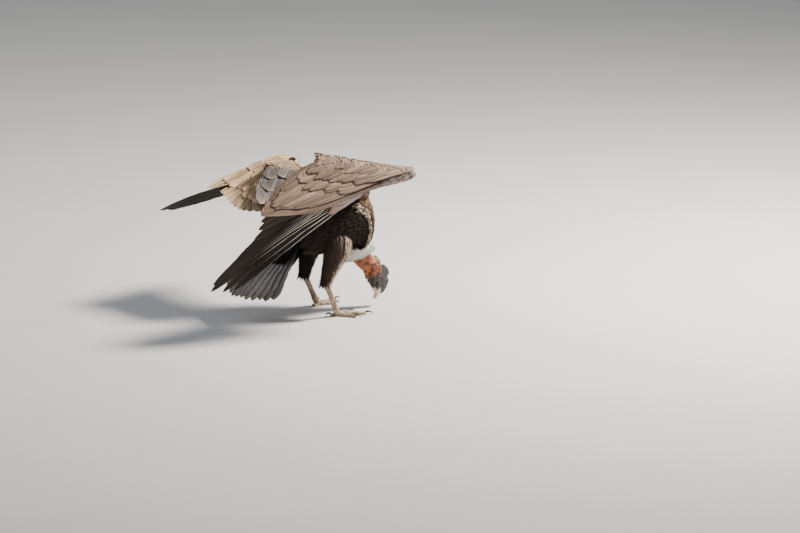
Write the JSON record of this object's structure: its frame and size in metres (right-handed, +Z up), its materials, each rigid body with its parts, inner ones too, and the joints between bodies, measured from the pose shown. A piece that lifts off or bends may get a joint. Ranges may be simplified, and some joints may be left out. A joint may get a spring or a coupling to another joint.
{
  "type": "andean condor model",
  "caption": "Life-size still model of a standing andean condor with its head low and both wings half folded.",
  "frame": {"origin": "middle of the model's outline as seen from above, at the level of the floor under its feet", "axes": "+X is where the bird faces, +Y is its left side, +Z is up"},
  "size_m": [0.8212, 0.789, 0.6385],
  "materials": {
    "body": "dark brown contour feathers over the trunk and thighs",
    "plumage": "dark brown contour feathers",
    "wing_pale": "sun-bleached tan-brown wing feathers",
    "flight": "blackish flight feathers, silky",
    "tail": "grey-brown tail feathers",
    "ruff": "white down, matt",
    "skin": "bare folded orange-brown skin",
    "comb": "dark grey fleshy comb",
    "bill": "ivory horn, darker at the base",
    "leg": "pale brown scaly skin",
    "claw": "dark horn",
    "eye": "wet dark brown eye"
  },
  "bodies": {
    "root": {"torso": "body", "thigh_right": "body", "thigh_left": "body", "neck": "skin", "head": "skin", "comb": "comb", "bill_upper": "bill", "bill_lower": "bill", "eye_left": "eye", "eye_right": "eye", "ruff": "ruff", "tail_feathers": "tail", "tail_coverts_upper": "plumage", "tail_coverts_under": "plumage", "forearm_right": "wing_pale", "forearm_left": "wing_pale", "hand_right": "flight", "hand_left": "flight", "upper_arm_right": "plumage", "upper_arm_left": "plumage", "shank_right": "leg", "shank_left": "leg", "foot_right": "leg", "foot_left": "leg", "claw_middle_right": "claw", "claw_inner_right": "claw", "claw_outer_right": "claw", "claw_hind_right": "claw", "claw_middle_left": "claw", "claw_inner_left": "claw", "claw_outer_left": "claw", "claw_hind_left": "claw"}
  },
  "joints": []
}
